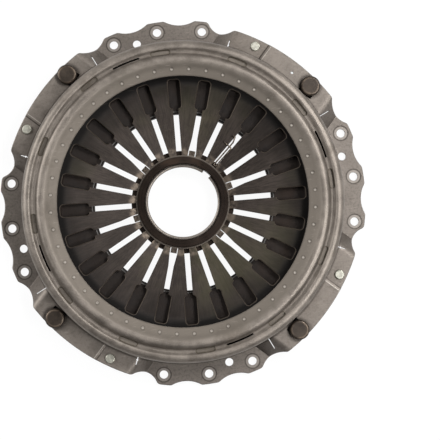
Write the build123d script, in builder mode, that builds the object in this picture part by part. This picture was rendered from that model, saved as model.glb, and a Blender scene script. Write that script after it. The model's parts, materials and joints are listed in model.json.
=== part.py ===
from build123d import *
import os
from math import cos, degrees, radians, sin, tan

# Pull-type diaphragm clutch pressure plate, lying on the bolting face of its cover.
# Millimetres. The origin is the centre of the bolting face, +Z points to the gearbox.
# Four equal groups of fixing holes are centred on 0, 90, 180 and 270 degrees.
# Four raised strap bridges are centred half way between them.

# Cover sheet and its heights
sheet = 6.0
flange_r = 238.2
wall_foot_r = 207.5
wall_top_r = 205.5
foot_bend_r = 3.0
shoulder_z = 59.5
shoulder_inner_r = 195.5
groove_outer_r = 192.4
groove_inner_r = 188.6
groove_z = 55.5
crown_outer_r = 185.5
crown_inner_r = 177.5
crown_z = 61.5
ledge_r = 170.5
ledge_z = 57.5
rim_r = 160.5
rim_z = 54.5
groups = 4
bridge_angle = 45.0

# Flange outline
bolt_pcd = 450.0
bolt_hole_d = 11.0
bolt_pitch = 15.0
bolt_seat_d = 19.0
bolt_seat_depth = 0.6
dowel_pcd = 432.0
dowel_hole_d = 10.5
dowel_angle = 7.5
valley_r = 232.0
valley_scallop_r = 40.0
entry_notch_angle = 22.0
entry_notch_r = 229.2
entry_scallop_r = 30.0
exit_notch_angle = 68.6
exit_notch_r = 225.3
exit_scallop_r = 22.0
outline_corner_r = 6.0
bridge_edge_start = (-76.5, 222.75)
bridge_edge_middle = (0.0, 232.4)
bridge_edge_end = (79.5, 218.2)

# Strap bridge, across its own radial line: u runs along it, w outward
bridge_entry_foot = -92.0
bridge_entry_top = -72.4
bridge_step = 28.6
bridge_step_width = 3.0
bridge_exit_top = 72.9
bridge_exit_foot = 89.0
bridge_reach = 115.0
bridge_high_z = 23.0
bridge_low_z = 21.5
bridge_bend_r = 7.0
step_bend_r = 5.0
outer_edge_round = 1.2
slit_width = 1.0
slit_hole_d = 2.6
entry_slit_angle = 23.4
entry_slit_length = 16.0
exit_slit_angle = 65.2
exit_slit_length = 11.0
sight_hole_d = 3.6
sight_hole_at = (-14.8, 218.2)
strap_eye_d = 6.5

# Groove pads, slots and the dimples inside the crown
pad_count = 12
pad_span = 7.5
pad_drop = 4.5
pad_pocket_depth = 1.6
pad_mid_r = 191.0
pad_w = 5.8
vent_span = 11.0
vent_width = 2.4
vent_angle = 13.8
dimple_count = 48
dimple_ring_r = 168.5
dimple_r = 1.7
dimple_depth = 0.6

# Fulcrum wire and diaphragm spring
fulcrum_r = 190.5
fulcrum_wire_d = 4.0
fulcrum_gap = 2.0
spring_t = 4.8
spring_cone = 7.5
spring_outer_r = 194.0
finger_tip_r = 60.0
finger_count = 24
finger_slot_w = 6.8
finger_slot_angle = -4.2
window_inner_r = 120.8
window_outer_r = 157.8
window_w = 15.4
window_corner_r = 4.0
window_bevel = 1.0
claw_count = 6
claw_slot_w = 9.8
claw_slot_inner_r = 68.0
claw_slot_outer_r = 84.0
wire_play = 0.1
spring_edge_round = 0.8

# Pressure plate
plate_face_z = 5.0
plate_bore_r = 114.5
plate_outer_r = 200.0
plate_inner_top_z = 23.0
plate_outer_top_z = 26.0
nose_r = 163.0
nose_w = 6.0
nose_gap_count = 12
nose_gap_w = 14.0
lug_w = 26.0
lug_bottom_z = 6.0
lug_top_z = 12.0
lug_corner_r = 8.0
lug_overhang = 11.0
plate_chamfer = 1.5
plate_travel = 6.0
running_gap = 0.3

# Strap packs, their rivets and the stop bolts
strap_pitch = 87.6
strap_line = 217.6
strap_w = 20.0
strap_t = 1.0
strap_leaves = ["bottom", "middle", "top"]
strap_gap = 0.05
strap_flat = 16.0
strap_bend_r = 40.0
rivet_d = 8.0
rivet_head_d = 12.8
rivet_head_h = 3.0
rivet_tail_d = 12.0
rivet_tail_h = 2.5
stop_head_d = 25.6
stop_head_h = 7.5
stop_head_round = 3.0
stop_shank_d = 12.0
stop_sleeve_d = 16.0
stop_slot_w = 20.0
close_fit = 0.05

# Release ring
socket_bore_r = 49.0
socket_outer_r = 57.5
socket_flange_r = 66.5
socket_flange_t = 6.0
socket_top_z = 31.0
socket_lead = 1.0
snap_wire_d = 4.4
snap_centre_r = 47.2
snap_groove_r = 49.9
snap_groove_w = 5.2
snap_drop = 9.5
snap_gap = 13.0
snap_gap_angle = 41.5
collar_t = 1.8
lip_reach = 1.0
lip_t = 1.4
claw_w = 8.0
claw_outer_r = 67.0
claw_notch_w = 10.5
lock_wire_d = 2.0
lock_wire_angle = 40.2
lock_wire_bend_r = 1.5
lock_wire_route = [(94, 11), (94, -1.6), (63, -1.6), (63, 1.6), (101, 1.6), (110, 5), (106, 8)]

# Values worked out from the driving ones
slope = tan(radians(spring_cone))
spring_half_t = spring_t / 2 / cos(radians(spring_cone))
wire_top_z = groove_z - sheet - pad_drop
wire_centre_z = wire_top_z - fulcrum_wire_d / 2 - wire_play / 2
spring_at_fulcrum_z = wire_centre_z - fulcrum_wire_d / 2 - wire_play - spring_half_t
bridge_offset = strap_pitch / 2
strap_pack_t = len(strap_leaves) * strap_t + (len(strap_leaves) - 1) * strap_gap
strap_plate_z = lug_top_z
strap_cover_z = bridge_low_z - strap_pack_t
bridge_high_top = bridge_high_z + sheet
bridge_low_top = bridge_low_z + sheet
bridge_inner_w = plate_outer_r - 5 * sheet
bridge_depth = flange_r - bridge_inner_w + sheet


def spring_mid_z(r):
    return spring_at_fulcrum_z - (fulcrum_r - r) * slope


def spring_under_z(r):
    return spring_mid_z(r) - spring_half_t


def spring_top_z(r):
    return spring_mid_z(r) + spring_half_t


def bridge_plane(angle, w):
    """Plane across the radial line at this angle: x along the bridge, y up, facing outward."""
    out = Vector(cos(radians(angle)), sin(radians(angle)), 0)
    along = Vector(-sin(radians(angle)), cos(radians(angle)), 0)
    return Plane(origin=out * w, x_dir=along, z_dir=out)


def bridge_point(angle, u, w, z=0.0):
    """Point at u along the bridge and w outward, for the bridge at this angle."""
    a = radians(angle)
    return Vector(w * cos(a) - u * sin(a), w * sin(a) + u * cos(a), z)


def section_plane(angle):
    """Upright half plane through the Z axis at this angle: x is the radius, y is the height."""
    a = radians(angle)
    return Plane(origin=(0, 0, 0), x_dir=(cos(a), sin(a), 0), z_dir=(sin(a), -cos(a), 0))


def upright_plane(foot):
    """Upright plane whose own vertical axis stands on this foot point."""
    return Plane(origin=foot, x_dir=(1, 0, 0), z_dir=(0, -1, 0))


def bowl_plane(r):
    """Plane that lies on the spring's top face at this radius along the X axis."""
    b = radians(spring_cone)
    return Plane(origin=(r, 0, spring_top_z(r)), x_dir=(cos(b), 0, sin(b)), z_dir=(-sin(b), 0, cos(b)))


def lock_wire_plane():
    """Plane that lies over the fingers along the hairpin: x runs up the bowl from the Z axis."""
    a = radians(lock_wire_angle)
    b = radians(spring_cone)
    rise = (running_gap + lock_wire_d / 2) / cos(b)
    return Plane(
        origin=(0, 0, spring_top_z(0) + rise),
        x_dir=(cos(a) * cos(b), sin(a) * cos(b), sin(b)),
        z_dir=(-cos(a) * sin(b), -sin(a) * sin(b), cos(b)),
    )


def on_outline_top(edge):
    """True for an arc along the upper edge of the outline, on the flange or on a bridge."""
    low, high = edge.bounding_box().min.Z, edge.bounding_box().max.Z
    heights = (sheet, bridge_low_top, bridge_high_top)
    level = high - low < close_fit and min(abs(high - z) for z in heights) < close_fit
    return level and edge.radius > exit_scallop_r / 2 + sheet and edge.center().length > wall_foot_r + sheet


def save(part, label):
    part.label = label
    export_step(part, f"parts/{label}.step")


os.makedirs("parts", exist_ok=True)

pad_arc = pad_span - degrees(pad_w / pad_mid_r)
vent_arc = vent_span - degrees(vent_width / fulcrum_r)
dimple_top_z = ledge_z - (ledge_r - dimple_ring_r) * (ledge_z - rim_z) / (ledge_r - rim_r)
collar_outer_r = socket_outer_r + close_fit + collar_t
lip_z = spring_top_z(collar_outer_r + lip_reach) + running_gap
snap_z = socket_top_z - snap_drop
claw_slot_angle = finger_slot_angle + 360 / finger_count
lug_outer_w = strap_line + lug_overhang
dimple_seat = (Align.CENTER, Align.CENTER, Align.MIN)
socket_flange_top = spring_under_z(finger_tip_r) - running_gap
socket_bottom = socket_flange_top - socket_flange_t
nose_top_z = spring_under_z(nose_r) - running_gap

# Flange outline: a disc trimmed over each bridge and scalloped between the lobes
with BuildSketch() as outline:
    Circle(flange_r)
    with PolarLocations(0, groups):
        with BuildLine(mode=Mode.PRIVATE) as trim:
            start, middle, end = [
                bridge_point(bridge_angle, *point)
                for point in (bridge_edge_start, bridge_edge_middle, bridge_edge_end)
            ]
            ThreePointArc(start, middle, end)
            Polyline(end, end * 1.2, start * 1.2, start)
        add(make_face(trim.edges(), mode=Mode.PRIVATE), mode=Mode.SUBTRACT)
    for turn in range(groups):
        for valley in (-dowel_angle, dowel_angle):
            with PolarLocations(valley_r + valley_scallop_r, 1, start_angle=90 * turn + valley):
                Circle(valley_scallop_r, mode=Mode.SUBTRACT)
        with PolarLocations(entry_notch_r + entry_scallop_r, 1, start_angle=90 * turn + entry_notch_angle):
            Circle(entry_scallop_r, mode=Mode.SUBTRACT)
        with PolarLocations(exit_notch_r + exit_scallop_r, 1, start_angle=90 * turn + exit_notch_angle):
            Circle(exit_scallop_r, mode=Mode.SUBTRACT)
    fillet(outline.vertices(), outline_corner_r)

# Underside of a bridge and its closed section
bridge_path = [
    (-bridge_reach, 0),
    (bridge_entry_foot, 0),
    (bridge_entry_top, bridge_high_z),
    (bridge_step - bridge_step_width / 2, bridge_high_z),
    (bridge_step + bridge_step_width / 2, bridge_low_z),
    (bridge_exit_top, bridge_low_z),
    (bridge_exit_foot, 0),
    (bridge_reach, 0),
]
bridge_radii = [bridge_bend_r, bridge_bend_r, step_bend_r, step_bend_r / 10, bridge_bend_r, bridge_bend_r]

with BuildPart() as tunnel:
    with BuildSketch(bridge_plane(bridge_angle, bridge_inner_w)):
        with BuildLine():
            FilletPolyline(*bridge_path, radius=bridge_radii)
            Polyline((bridge_reach, 0), (bridge_reach, -sheet), (-bridge_reach, -sheet), (-bridge_reach, 0))
        make_face()
    extrude(amount=bridge_depth)

with BuildPart() as bridge:
    with BuildSketch(bridge_plane(bridge_angle, bridge_inner_w)):
        with BuildLine():
            FilletPolyline(*bridge_path, radius=bridge_radii)
            offset(amount=sheet, side=Side.LEFT)
        make_face()
    extrude(amount=bridge_depth)
    with BuildSketch(Plane.XY.offset(-sheet)) as band:
        add(outline.sketch)
        Circle(wall_foot_r - sheet / 2, mode=Mode.SUBTRACT)
    extrude(amount=bridge_high_top + 3 * sheet, mode=Mode.INTERSECT)

# Cover
with BuildPart() as cover:
    with BuildSketch(Plane.XZ):
        with BuildLine():
            outer = FilletPolyline(
                (wall_foot_r + sheet, sheet),
                (wall_foot_r, sheet),
                (wall_top_r, shoulder_z),
                (shoulder_inner_r, shoulder_z),
                (groove_outer_r, groove_z),
                (groove_inner_r, groove_z),
                (crown_outer_r, crown_z),
                (crown_inner_r, crown_z),
                (ledge_r, ledge_z),
                (rim_r, rim_z),
                radius=[foot_bend_r, 8.0, 3.5, 3.3, 3.3, 7.0, 10.0, 25.0],
            )
            inner = FilletPolyline(
                (rim_r, rim_z - sheet),
                (ledge_r, ledge_z - sheet),
                (crown_inner_r - 1.0, crown_z - sheet),
                (crown_outer_r - sheet, crown_z - sheet),
                (groove_inner_r - sheet / 2, groove_z - sheet),
                (wall_foot_r - sheet - 1.0, groove_z - sheet),
                (wall_foot_r - sheet, 0),
                (wall_foot_r + sheet, 0),
                radius=[20.0, 3.0, 1.5, 3.0, 6.0, 2 * foot_bend_r],
            )
            Line(outer @ 1, inner @ 0)
            Line(inner @ 1, outer @ 0)
        make_face()
    revolve(axis=Axis.Z)
    with BuildSketch() as flange:
        add(outline.sketch)
        Circle(wall_foot_r - sheet / 2, mode=Mode.SUBTRACT)
    extrude(amount=sheet)
    with PolarLocations(0, groups):
        add(tunnel.part, mode=Mode.SUBTRACT)
    with PolarLocations(0, groups):
        add(bridge.part)
    # Bolt holes with their pressed seats, and the dowel holes
    for turn in range(groups):
        for step in (-bolt_pitch, 0.0, bolt_pitch):
            with Locations(Plane.XY.offset(sheet)):
                with PolarLocations(bolt_pcd / 2, 1, start_angle=90 * turn + step):
                    CounterBoreHole(bolt_hole_d / 2, bolt_seat_d / 2, bolt_seat_depth, depth=2 * sheet)
    with Locations(Plane.XY.offset(sheet)):
        with PolarLocations(dowel_pcd / 2, groups, start_angle=dowel_angle):
            Hole(dowel_hole_d / 2, depth=2 * sheet)
    # In each bridge: the slot round the stop bolt, open towards the wall, and the rivet hole
    with BuildSketch():
        for turn in range(groups):
            angle = bridge_angle + 90 * turn
            with Locations(bridge_point(angle, -bridge_offset, strap_line)):
                Circle(stop_slot_w / 2)
            reach = strap_line - wall_foot_r + sheet / 2
            with Locations(Location(bridge_point(angle, -bridge_offset, strap_line - reach / 2), (0, 0, angle))):
                Rectangle(reach, stop_slot_w)
            with Locations(bridge_point(angle, bridge_offset, strap_line)):
                Circle(rivet_d / 2 + close_fit)
        with Locations(bridge_point(bridge_angle, *sight_hole_at)):
            Circle(sight_hole_d / 2)
    extrude(amount=bridge_high_top + sheet / 2, mode=Mode.SUBTRACT)
    # Relief slits at both ends of each bridge
    with BuildSketch():
        for turn in range(groups):
            for angle, length in ((entry_slit_angle, entry_slit_length), (exit_slit_angle, exit_slit_length)):
                with PolarLocations(wall_foot_r + length / 2, 1, start_angle=90 * turn + angle):
                    SlotOverall(length, slit_width)
        with PolarLocations(wall_foot_r + foot_bend_r + slit_width, groups, start_angle=exit_slit_angle):
            Circle(slit_hole_d / 2)
    extrude(amount=bridge_high_top, mode=Mode.SUBTRACT)
    # Pads pressed down from the groove onto the fulcrum wire, each with its round-ended pocket above
    for turn in range(pad_count):
        with BuildSketch(section_plane(360 / pad_count * turn - pad_span / 2)):
            with Locations((pad_mid_r, wire_top_z)):
                Rectangle(pad_w, pad_drop + 1, align=(Align.CENTER, Align.MIN))
        revolve(axis=Axis.Z, revolution_arc=pad_span)
    with BuildSketch(Plane.XY.offset(groove_z - pad_pocket_depth)):
        for turn in range(pad_count):
            with BuildLine(mode=Mode.PRIVATE) as pad_line:
                CenterArc((0, 0), pad_mid_r, 360 / pad_count * turn - pad_arc / 2, pad_arc)
            SlotArc(pad_line.edge(), pad_w)
    extrude(amount=2 * pad_drop, mode=Mode.SUBTRACT)
    # Long vents in the groove floor
    with BuildSketch(Plane.XY.offset(groove_z - sheet - close_fit)):
        for turn in range(groups):
            with BuildLine(mode=Mode.PRIVATE) as vent_line:
                CenterArc((0, 0), fulcrum_r, 90 * turn + vent_angle - vent_arc / 2, vent_arc)
            SlotArc(vent_line.edge(), vent_width)
    extrude(amount=2 * sheet, mode=Mode.SUBTRACT)
    # Upper edge of the outline, rolled over where the sheet was punched
    fillet(cover.edges().filter_by(GeomType.CIRCLE).filter_by(on_outline_top), outer_edge_round)
    # Row of dimples along the ledge
    with Locations(Plane.XY.offset(dimple_top_z - dimple_depth)):
        with PolarLocations(dimple_ring_r, dimple_count, start_angle=180 / dimple_count):
            Cone(dimple_r / 3, dimple_r * 2, 3 * dimple_depth, align=dimple_seat, mode=Mode.SUBTRACT)

save(cover.part, "cover")

# Wire ring that the spring rocks on
with BuildPart() as fulcrum_ring:
    with BuildSketch(section_plane(fulcrum_gap / 2)):
        with Locations((fulcrum_r, wire_centre_z)):
            Circle(fulcrum_wire_d / 2)
    revolve(axis=Axis.Z, revolution_arc=360 - fulcrum_gap)

save(fulcrum_ring.part, "fulcrum_ring")

# Bevel round the top edge of one spring window
window_length = window_outer_r - window_inner_r
window_mid_r = window_inner_r + window_length / 2
with BuildPart() as window_cutter:
    with BuildSketch(bowl_plane(window_mid_r).offset(wire_play)):
        grown = window_bevel + wire_play
        RectangleRounded(window_length + 2 * grown, window_w + 2 * grown, window_corner_r + grown)
    extrude(amount=-(grown + window_bevel), taper=45)

# Diaphragm spring: a bowl with its finger tips lowest
with BuildPart() as diaphragm_spring:
    with BuildSketch(Plane.XZ) as bowl:
        with BuildLine():
            Polyline(
                (finger_tip_r, spring_under_z(finger_tip_r)),
                (spring_outer_r, spring_under_z(spring_outer_r)),
                (spring_outer_r, spring_top_z(spring_outer_r)),
                (finger_tip_r, spring_top_z(finger_tip_r)),
                close=True,
            )
        make_face()
        fillet(bowl.vertices(), spring_edge_round)
    revolve(axis=Axis.Z)
    with BuildSketch():
        slot_length = window_inner_r + window_corner_r - finger_tip_r / 2
        with PolarLocations(finger_tip_r / 2 + slot_length / 2, finger_count, start_angle=finger_slot_angle):
            Rectangle(slot_length, finger_slot_w)
        with PolarLocations(window_mid_r, finger_count, start_angle=finger_slot_angle):
            RectangleRounded(window_length, window_w, window_corner_r)
        with PolarLocations(0, claw_count, start_angle=claw_slot_angle):
            Polygon(
                (finger_tip_r / 2, -claw_slot_w / 2),
                (claw_slot_inner_r, -claw_slot_w / 2),
                (claw_slot_outer_r, -finger_slot_w / 2),
                (claw_slot_outer_r, finger_slot_w / 2),
                (claw_slot_inner_r, claw_slot_w / 2),
                (finger_tip_r / 2, claw_slot_w / 2),
                align=None,
            )
    extrude(amount=groove_z, mode=Mode.SUBTRACT)
    with PolarLocations(0, finger_count, start_angle=finger_slot_angle):
        add(window_cutter.part, mode=Mode.SUBTRACT)

save(diaphragm_spring.part, "diaphragm_spring")

# Pressure plate: the cast ring with its friction face below, nose above and four strap lugs
with BuildPart() as pressure_plate:
    with BuildSketch(Plane.XZ):
        with BuildLine():
            Polyline(
                (plate_bore_r, plate_face_z + plate_chamfer),
                (plate_bore_r + plate_chamfer, plate_face_z),
                (plate_outer_r - plate_chamfer, plate_face_z),
                (plate_outer_r, plate_face_z + plate_chamfer),
                (plate_outer_r, plate_outer_top_z - 2 * plate_chamfer),
                (plate_outer_r - 2 * plate_chamfer, plate_outer_top_z),
                (nose_r + nose_w, plate_outer_top_z),
                (nose_r + nose_w / 2, nose_top_z - nose_w / 4),
                (nose_r + nose_w / 4, nose_top_z),
                (nose_r - nose_w / 4, nose_top_z),
                (nose_r - nose_w / 2, nose_top_z - nose_w / 4),
                (nose_r - nose_w, plate_outer_top_z),
                (plate_bore_r + 2 * plate_chamfer, plate_inner_top_z),
                (plate_bore_r, plate_inner_top_z - 2 * plate_chamfer),
                close=True,
            )
        make_face()
    revolve(axis=Axis.Z)
    # Gaps that split the nose into separate pads
    with BuildSketch(Plane.XY.offset(plate_outer_top_z)):
        with PolarLocations(nose_r, nose_gap_count, start_angle=180 / nose_gap_count):
            Rectangle(3 * nose_w, nose_gap_w)
    extrude(amount=nose_top_z, mode=Mode.SUBTRACT)
    # Lugs under the bridges, drilled for the stop bolts
    with BuildSketch(Plane.XY.offset(lug_bottom_z)):
        for turn in range(groups):
            angle = bridge_angle + 90 * turn
            lug_length = lug_outer_w - nose_r
            with Locations(Location(bridge_point(angle, -bridge_offset, nose_r + lug_length / 2), (0, 0, angle))):
                RectangleRounded(lug_length, lug_w, lug_corner_r)
    extrude(amount=lug_top_z - lug_bottom_z)
    for turn in range(groups):
        with Locations(bridge_point(bridge_angle + 90 * turn, -bridge_offset, strap_line, lug_top_z)):
            Hole(stop_shank_d / 2 + close_fit, depth=lug_top_z)

save(pressure_plate.part, "pressure_plate")

# Strap packs: three leaves each, from a lug of the plate up to the low end of the bridge
for turn in range(groups):
    angle = bridge_angle + 90 * turn
    across = Location(bridge_point(angle, 0, strap_line), (0, 0, angle + 90))
    plate_end = bridge_point(angle, -bridge_offset, strap_line)
    cover_end = bridge_point(angle, bridge_offset, strap_line)
    for layer, leaf_name in enumerate(strap_leaves):
        lift = layer * (strap_t + strap_gap)
        with BuildPart() as leaf:
            with BuildSketch(bridge_plane(angle, strap_line - strap_w / 2)):
                with BuildLine():
                    FilletPolyline(
                        (-strap_pitch, strap_plate_z + lift),
                        (strap_flat - bridge_offset, strap_plate_z + lift),
                        (bridge_offset - strap_flat, strap_cover_z + lift),
                        (strap_pitch, strap_cover_z + lift),
                        radius=strap_bend_r,
                    )
                    offset(amount=strap_t, side=Side.LEFT)
                make_face()
            extrude(amount=strap_w)
            with BuildSketch():
                with Locations(across):
                    SlotCenterToCenter(strap_pitch, strap_w)
                with Locations(plate_end):
                    Circle(stop_shank_d / 2 + close_fit, mode=Mode.SUBTRACT)
                with Locations(cover_end):
                    Circle(rivet_d / 2 + close_fit, mode=Mode.SUBTRACT)
                with Locations(bridge_point(angle, *sight_hole_at)):
                    Circle(strap_eye_d / 2, mode=Mode.SUBTRACT)
            extrude(amount=groove_z, mode=Mode.INTERSECT)
        save(leaf.part, f"strap_{turn + 1}_{leaf_name}")

# Rivet through each bridge and its strap pack, headed on both sides
for turn in range(groups):
    foot = bridge_point(bridge_angle + 90 * turn, bridge_offset, strap_line)
    with BuildPart() as rivet:
        with BuildSketch(upright_plane(foot)) as rivet_section:
            with BuildLine():
                Polyline(
                    (0, strap_cover_z - rivet_tail_h),
                    (rivet_tail_d / 2, strap_cover_z - rivet_tail_h),
                    (rivet_tail_d / 2, strap_cover_z),
                    (rivet_d / 2, strap_cover_z),
                    (rivet_d / 2, bridge_low_top),
                    (rivet_head_d / 2, bridge_low_top),
                    (rivet_head_d / 2 - rivet_head_h / 4, bridge_low_top + rivet_head_h),
                    (0, bridge_low_top + rivet_head_h),
                    close=True,
                )
            make_face()
        revolve(axis=Axis(foot, (0, 0, 1)))
        fillet(rivet.edges().filter_by(GeomType.CIRCLE).group_by(Axis.Z)[-1], rivet_head_h / 3)
    save(rivet.part, f"strap_rivet_{turn + 1}")

# Stop bolt through each bridge slot, sleeve, strap pack and lug
for turn in range(groups):
    foot = bridge_point(bridge_angle + 90 * turn, -bridge_offset, strap_line)
    with BuildPart() as bolt:
        with BuildSketch(Plane(origin=foot + Vector(0, 0, lug_bottom_z))):
            Circle(stop_shank_d / 2)
        extrude(amount=bridge_high_top - lug_bottom_z)
        with BuildSketch(Plane(origin=foot + Vector(0, 0, bridge_high_top))):
            Circle(stop_head_d / 2)
        extrude(amount=stop_head_h)
        fillet(bolt.edges().filter_by(GeomType.CIRCLE).group_by(Axis.Z)[-1], stop_head_round)
    save(bolt.part, f"stop_bolt_{turn + 1}")
    with BuildPart() as sleeve:
        with BuildSketch(Plane(origin=foot + Vector(0, 0, strap_plate_z + strap_pack_t))):
            Circle(stop_sleeve_d / 2)
            Circle(stop_shank_d / 2 + close_fit, mode=Mode.SUBTRACT)
        extrude(amount=bridge_high_top - strap_plate_z - strap_pack_t)
    save(sleeve.part, f"stop_sleeve_{turn + 1}")

# Socket that the release bearing snaps into, with the flange that lifts the finger tips
with BuildPart() as bearing_socket:
    with BuildSketch(Plane.XZ):
        with BuildLine():
            Polyline(
                (socket_bore_r, socket_bottom),
                (socket_flange_r, socket_bottom),
                (socket_flange_r, socket_flange_top),
                (socket_outer_r, socket_flange_top),
                (socket_outer_r, socket_top_z),
                (socket_bore_r + socket_lead, socket_top_z),
                (socket_bore_r, socket_top_z - socket_lead),
                (socket_bore_r, snap_z + snap_groove_w / 2),
                (snap_groove_r, snap_z + snap_groove_w / 2),
                (snap_groove_r, snap_z - snap_groove_w / 2),
                (socket_bore_r, snap_z - snap_groove_w / 2),
                close=True,
            )
        make_face()
    revolve(axis=Axis.Z)
    with BuildSketch(Plane.XY.offset(socket_bottom)):
        notch_length = socket_flange_r - collar_outer_r
        with PolarLocations(collar_outer_r + notch_length, claw_count, start_angle=claw_slot_angle):
            Rectangle(2 * notch_length, claw_notch_w)
    extrude(amount=socket_flange_t, mode=Mode.SUBTRACT)

save(bearing_socket.part, "bearing_socket")

# Retaining ring: a collar with a lip over the finger tips and six claws down through the slots
with BuildPart() as retaining_ring:
    with BuildSketch(Plane.XZ):
        with BuildLine():
            Polyline(
                (socket_outer_r + close_fit, socket_flange_top),
                (collar_outer_r, socket_flange_top),
                (collar_outer_r, lip_z),
                (collar_outer_r + lip_reach, lip_z),
                (collar_outer_r + lip_reach, lip_z + lip_t),
                (socket_outer_r + close_fit, lip_z + lip_t),
                close=True,
            )
        make_face()
    revolve(axis=Axis.Z)
    with BuildSketch(Plane.XY.offset(socket_bottom)):
        claw_length = claw_outer_r - collar_outer_r
        with PolarLocations(collar_outer_r + claw_length / 2, claw_count, start_angle=claw_slot_angle):
            Rectangle(claw_length, claw_w)
    extrude(amount=lip_z + lip_t - socket_bottom)

save(retaining_ring.part, "retaining_ring")

# Split wire ring that locks the bearing in the socket
with BuildPart() as snap_ring:
    with BuildSketch(section_plane(snap_gap_angle + snap_gap / 2)):
        with Locations((snap_centre_r, snap_z)):
            Circle(snap_wire_d / 2)
    revolve(axis=Axis.Z, revolution_arc=360 - snap_gap)

save(snap_ring.part, "snap_ring")

# Hairpin locking wire, lying on the fingers beside one slot
with BuildPart() as locking_wire:
    with BuildLine(lock_wire_plane()):
        hairpin = FilletPolyline(*lock_wire_route, radius=lock_wire_bend_r)
    with BuildSketch(Plane(origin=hairpin @ 0, z_dir=hairpin % 0)):
        Circle(lock_wire_d / 2)
    sweep(path=hairpin)

save(locking_wire.part, "locking_wire")
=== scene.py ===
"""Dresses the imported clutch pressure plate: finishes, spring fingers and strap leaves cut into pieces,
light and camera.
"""

import json
import logging
import math
from dataclasses import dataclass
from enum import Enum

import bpy
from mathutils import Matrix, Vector

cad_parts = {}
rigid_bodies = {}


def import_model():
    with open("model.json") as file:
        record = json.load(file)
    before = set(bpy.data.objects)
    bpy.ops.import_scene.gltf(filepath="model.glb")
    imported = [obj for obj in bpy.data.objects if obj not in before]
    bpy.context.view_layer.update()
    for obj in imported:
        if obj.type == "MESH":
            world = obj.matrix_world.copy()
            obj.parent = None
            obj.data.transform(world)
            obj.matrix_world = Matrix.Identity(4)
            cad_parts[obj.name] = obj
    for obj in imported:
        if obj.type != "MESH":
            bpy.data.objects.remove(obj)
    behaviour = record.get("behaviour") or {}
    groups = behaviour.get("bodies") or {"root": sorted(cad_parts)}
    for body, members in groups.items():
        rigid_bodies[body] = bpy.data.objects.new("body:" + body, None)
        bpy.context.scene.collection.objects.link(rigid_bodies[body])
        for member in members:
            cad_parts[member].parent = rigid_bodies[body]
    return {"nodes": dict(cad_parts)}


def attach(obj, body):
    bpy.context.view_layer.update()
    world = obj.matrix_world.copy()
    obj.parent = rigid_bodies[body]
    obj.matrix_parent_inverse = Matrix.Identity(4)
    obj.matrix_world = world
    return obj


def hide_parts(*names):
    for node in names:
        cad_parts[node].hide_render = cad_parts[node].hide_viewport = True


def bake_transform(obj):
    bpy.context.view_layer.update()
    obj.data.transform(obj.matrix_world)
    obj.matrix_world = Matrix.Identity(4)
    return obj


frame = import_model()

LOG = logging.getLogger("pressure_plate_looks")
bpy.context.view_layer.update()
MM = 0.001
TURN_OF_PHOTO = -8.7
BRIDGES = 4
BRIDGE_TURN = 45.0
STOP_BOLT_R = 221.96
STOP_BOLT_TURN = 33.62
DOUBLES_WITHIN = 0.002 * MM
BEVEL_MARK = "bevelled_edge"

Colour = tuple[float, float, float, float]
Piece = bpy.types.Object
Tree = bpy.types.NodeTree
Socket = bpy.types.NodeSocket
Feed = Socket | float | tuple


class Body(Enum):
    """The bodies that pieces ride on."""

    COVER = "cover"
    PLATE = "pressure_plate"
    RELEASE = "release_ring"


class Slot(Enum):
    """The record's material slots."""

    COVER_STEEL = "cover_steel"
    SPRING_STEEL = "spring_steel"
    CAST_IRON = "cast_iron"
    DARK_STEEL = "dark_steel"
    WIRE_STEEL = "wire_steel"
    STRAP_STEEL = "strap_steel"
    ZINC = "zinc"
    BLACK_OXIDE = "black_oxide"


class Reading(Enum):
    """What is read off a lathe's rings."""

    TONE = "Tone"
    HEIGHT = "Height"


def rgb(red: int, green: int, blue: int) -> Colour:
    """Turns a colour as read off the picture, 0 to 255, into the linear colour that a node takes.

    Args:
        red: red share.
        green: green share.
        blue: blue share.

    Returns:
        The linear colour with full alpha.
    """

    def linear(value: int) -> float:
        """One channel, from picture value to linear light."""
        share = value / 255
        return share / 12.92 if share <= 0.04045 else ((share + 0.055) / 1.055) ** 2.4

    return (linear(red), linear(green), linear(blue), 1.0)


def direction(turn: float, rise: float) -> Vector:
    """Unit vector at an angle round the clutch axis and above the floor.

    Args:
        turn: degrees from +X towards +Y.
        rise: degrees above the floor.

    Returns:
        The unit vector.
    """
    a, e = math.radians(turn), math.radians(rise)
    return Vector((math.cos(a) * math.cos(e), math.sin(a) * math.cos(e), math.sin(e)))


@dataclass(frozen=True)
class Band:
    """A band of some measure: its middle, half width, fading edge and how strongly it counts."""

    middle: float
    half: float
    soft: float
    strength: float = 1.0


@dataclass(frozen=True)
class Ramp:
    """A smooth change between two values while some measure goes from low to high."""

    low: float
    high: float
    before: float = 0.0
    after: float = 1.0


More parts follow.
